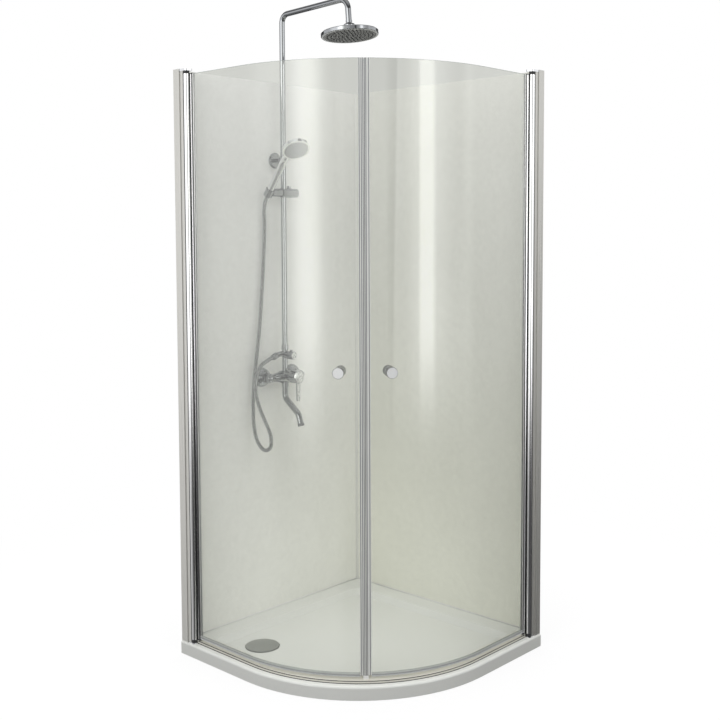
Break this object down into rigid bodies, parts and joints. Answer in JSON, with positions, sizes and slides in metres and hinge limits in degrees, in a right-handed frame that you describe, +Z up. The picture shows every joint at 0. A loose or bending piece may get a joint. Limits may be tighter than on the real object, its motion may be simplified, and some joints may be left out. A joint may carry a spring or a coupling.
{
  "type": "corner shower enclosure",
  "caption": "Quadrant corner shower enclosure with curved pivoting glass doors, low tray, riser shower with overhead head, hand shower and lever mixer.",
  "frame": {"origin": "on the floor, in the middle of the square that the tray and the two walls make", "axes": "+Z up; the left wall is at -X and the right wall at +Y, so the rounded front faces +X and -Y"},
  "size_m": [0.9, 0.9, 2.2853],
  "materials": {
    "tray": "gloss",
    "panel": "satin",
    "strip": "gloss",
    "waste_steel": "satin",
    "black_plastic": "matt",
    "rubber": "matt",
    "profile": "satin",
    "trim": "satin",
    "screw_steel": "satin",
    "chrome": "polished",
    "post": "polished",
    "glass": "clear",
    "seal": "satin",
    "magnet": "matt",
    "fixing": "clear",
    "brass": "polished",
    "plated_plastic": "mirror-like plating",
    "nozzle": "satin",
    "spray_face": "gloss",
    "hose": "polished spiral"
  },
  "bodies": {
    "frame": {"shower_tray": "tray", "waste_flange": "waste_steel", "waste_gasket": "rubber", "waste_locknut": "black_plastic", "wall_panel_left": "panel", "wall_panel_right": "panel", "corner_strip": "strip", "wall_channel_left": "profile", "wall_channel_right": "profile", "adjusting_profile_left": "profile", "adjusting_profile_right": "profile", "post_gaskets": "rubber", "channel_caps": "trim", "profile_screws": "screw_steel", "bottom_brackets": "chrome", "top_brackets": "chrome", "sill_strip": "profile", "centre_stop": "trim", "wall_rosettes": "chrome", "wall_unions": "chrome", "mixer_body": "chrome", "diverter_body": "chrome", "riser_coupling": "chrome", "riser_pipe": "chrome", "riser_bracket": "chrome", "shower_hose": "hose", "hose_valve_nut": "chrome"},
    "left_door": {"door_glass_left": "glass", "hinge_post_left": "post", "hinge_bushings_left": "black_plastic", "glazing_gasket_left": "rubber", "bottom_seal_left": "seal", "magnet_seal_left": "seal", "magnet_strip_left": "magnet", "door_knobs_left": "chrome", "knob_fixings_left": "fixing"},
    "waste_lid": {"waste_cover": "waste_steel"},
    "cartridge_ball": {"cartridge": "brass"},
    "lever": {"lever_handle": "chrome"},
    "spout": {"spout": "chrome", "aerator": "black_plastic"},
    "diverter_turn": {"diverter_knob": "chrome"},
    "ball_collar": {"head_collar": "plated_plastic"},
    "rain_head": {"overhead_head": "plated_plastic", "nozzle_plate": "nozzle"},
    "slider": {"slider_body": "plated_plastic"},
    "slider_clamp": {"slider_knob": "plated_plastic"},
    "holder": {"handset_holder": "plated_plastic", "hose_cone_nut": "chrome"},
    "hand_shower": {"handset": "plated_plastic", "handset_face": "spray_face"},
    "right_door": {"door_glass_right": "glass", "hinge_post_right": "post", "hinge_bushings_right": "black_plastic", "glazing_gasket_right": "rubber", "bottom_seal_right": "seal", "magnet_seal_right": "seal", "magnet_strip_right": "magnet", "door_knobs_right": "chrome", "knob_fixings_right": "fixing"}
  },
  "joints": [
    {"name": "left_door_pivot", "type": "hinge", "parent": "frame", "child": "left_door", "pos_m": [-0.394, -0.434, 1.03], "axis": [0, 0, 1], "range_deg": [-100, 0]},
    {"name": "right_door_pivot", "type": "hinge", "parent": "frame", "child": "right_door", "pos_m": [0.434, 0.394, 1.03], "axis": [0, 0, 1], "range_deg": [0, 100]},
    {"name": "waste_cover_lift", "type": "slide", "parent": "frame", "child": "waste_lid", "axis": [0, 0, 1], "range_m": [0, 0.03]},
    {"name": "lever_turn", "type": "hinge", "parent": "frame", "child": "cartridge_ball", "pos_m": [-0.352, 0.006, 0.94], "axis": [1, 0, 0], "range_deg": [-45, 45]},
    {"name": "lever_lift", "type": "hinge", "parent": "cartridge_ball", "child": "lever", "pos_m": [-0.352, 0.006, 0.94], "axis": [0, -1, 0], "range_deg": [0, 22]},
    {"name": "spout_swing", "type": "hinge", "parent": "frame", "child": "spout", "pos_m": [-0.396, 0.006, 0.88], "axis": [0, 0, 1], "range_deg": [-80, 80]},
    {"name": "diverter_knob_turn", "type": "hinge", "parent": "frame", "child": "diverter_turn", "pos_m": [-0.36, 0.006, 1.018], "axis": [1, 0, 0], "range_deg": [-90, 90]},
    {"name": "head_tilt_forward", "type": "hinge", "parent": "frame", "child": "ball_collar", "pos_m": [-0.05581, 0.006, 2.18295], "axis": [0, 1, 0], "range_deg": [-15, 15]},
    {"name": "head_tilt_side", "type": "hinge", "parent": "ball_collar", "child": "rain_head", "pos_m": [-0.05581, 0.006, 2.18295], "axis": [1, 0, 0], "range_deg": [-15, 15]},
    {"name": "slider_height", "type": "slide", "parent": "frame", "child": "slider", "axis": [0, 0, 1], "range_m": [-0.25, 0.05], "deforming": ["shower_hose"]},
    {"name": "slider_clamp_turn", "type": "hinge", "parent": "slider", "child": "slider_clamp", "pos_m": [-0.396, 0.055, 1.619], "axis": [0, 1, 0], "range_deg": [-90, 90]},
    {"name": "holder_tilt", "type": "hinge", "parent": "slider", "child": "holder", "pos_m": [-0.396, -0.03, 1.619], "axis": [0, 1, 0], "range_deg": [-12, 12], "deforming": ["shower_hose"]},
    {"name": "hand_shower_turn", "type": "hinge", "parent": "holder", "child": "hand_shower", "pos_m": [-0.396, -0.065, 1.619], "axis": [0.5878, 0, 0.809], "range_deg": [-60, 60]}
  ]
}
